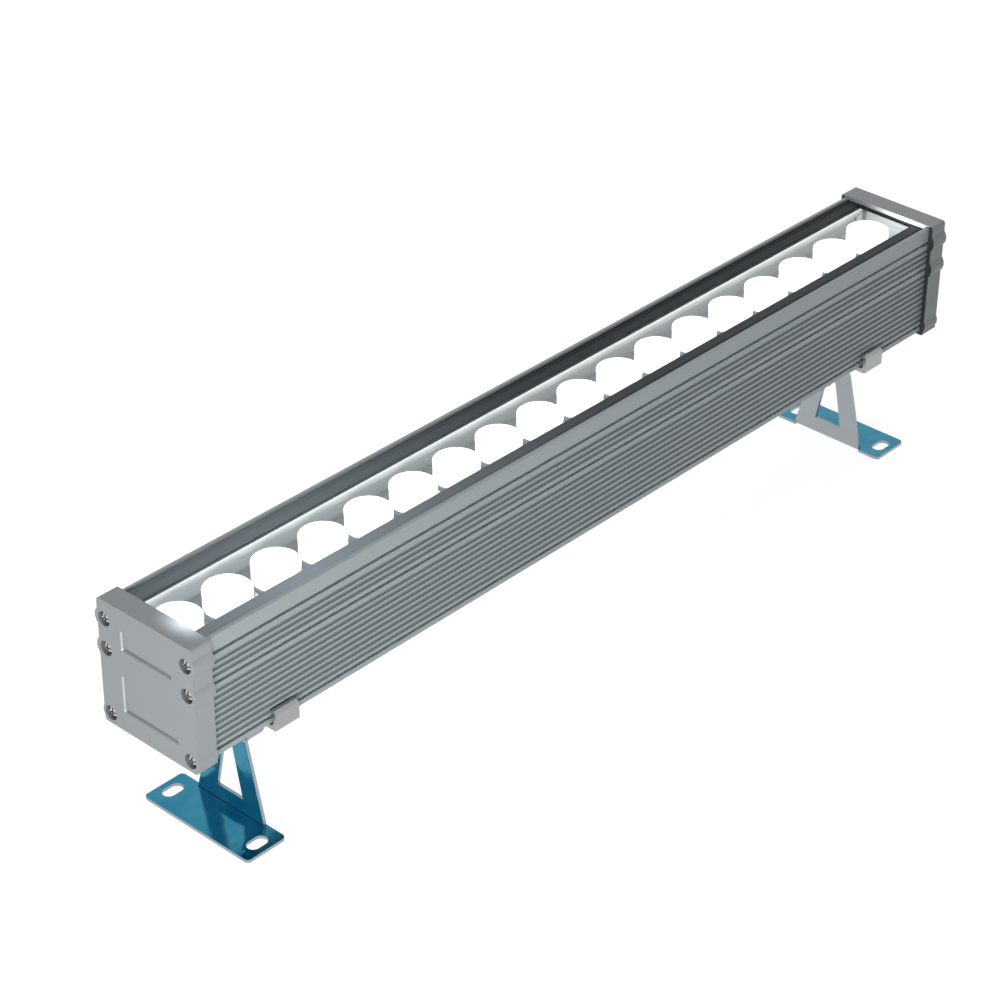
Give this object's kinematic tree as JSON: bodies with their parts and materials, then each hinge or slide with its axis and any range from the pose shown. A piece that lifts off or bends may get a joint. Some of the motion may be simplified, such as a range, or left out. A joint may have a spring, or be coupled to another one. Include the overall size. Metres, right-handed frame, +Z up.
{
  "type": "linear wall washer light",
  "caption": "Linear outdoor wall washer light: finned aluminium housing with glazed lens row, screwed end caps and cable gland, on slotted feet that swivel and slide along the housing.",
  "frame": {"origin": "on the plane of the feet's undersides, under the middle of the whole lamp's length and width, cable gland included", "axes": "+X along the lamp towards the end with the cable gland, +Y across it towards the back, +Z up, out of the glass"},
  "size_m": [0.521, 0.064, 0.1158],
  "materials": {
    "housing": "satin anodised silver grey",
    "cap": "satin silver grey paint on die casting",
    "rubber": "matte black silicone",
    "screw": "plain stainless steel",
    "glass": "clear toughened glass",
    "strip": "black with a slight sheen",
    "board": "white coated board",
    "chip": "yellow phosphor under clear silicone",
    "holder": "white",
    "lens": "clear polished lens lit from below",
    "driver": "plain sheet",
    "black_plastic": "black moulded",
    "circuit": "green laminate",
    "pad": "soft grey thermal pad",
    "white_plastic": "white moulded",
    "lead": "insulated wire",
    "clamp": "sawn extrusion, satin",
    "bracket": "bare punched sheet",
    "film": "thin glossy blue protective film"
  },
  "bodies": {
    "lamp": {"housing": "housing", "end_cap_left": "cap", "end_cap_right": "cap", "end_gasket_left": "rubber", "end_gasket_right": "rubber", "cap_screws_left": "screw", "cap_screws_right": "screw", "cover_glass": "glass", "glazing_strip_front": "strip", "glazing_strip_back": "strip", "end_seal_left": "rubber", "end_seal_right": "rubber", "led_board": "board", "led_chips": "chip", "lens_holders": "holder", "lenses": "lens", "board_screws": "screw", "driver_case": "driver", "driver_end_plates": "black_plastic", "driver_board": "circuit", "driver_pad": "pad", "terminal_block": "white_plastic", "input_leads": "lead", "output_leads": "lead", "gland_body": "black_plastic", "gland_nut": "black_plastic", "gland_seal": "rubber", "gland_o_ring": "rubber", "gland_locknut": "black_plastic"},
    "clamp_l": {"clamp_left": "clamp", "bolt_left": "screw", "washers_left": "screw"},
    "clamp_r": {"clamp_right": "clamp", "bolt_right": "screw", "washers_right": "screw"},
    "bracket_l": {"bracket_left": "bracket", "film_left": "film"},
    "bracket_r": {"bracket_right": "bracket", "film_right": "film"}
  },
  "joints": [
    {"name": "left_clamp_slide", "type": "slide", "parent": "lamp", "child": "clamp_l", "axis": [1, 0, 0], "range_m": [-0.0225, 0.15]},
    {"name": "right_clamp_slide", "type": "slide", "parent": "lamp", "child": "clamp_r", "axis": [1, 0, 0], "range_m": [-0.15, 0.0275]},
    {"name": "left_bracket_swivel", "type": "hinge", "parent": "clamp_l", "child": "bracket_l", "pos_m": [-0.212, 0, 0.04165], "axis": [0, 0, 1], "continuous": true},
    {"name": "right_bracket_swivel", "type": "hinge", "parent": "clamp_r", "child": "bracket_r", "pos_m": [0.1886, 0, 0.04165], "axis": [0, 0, 1], "continuous": true}
  ]
}
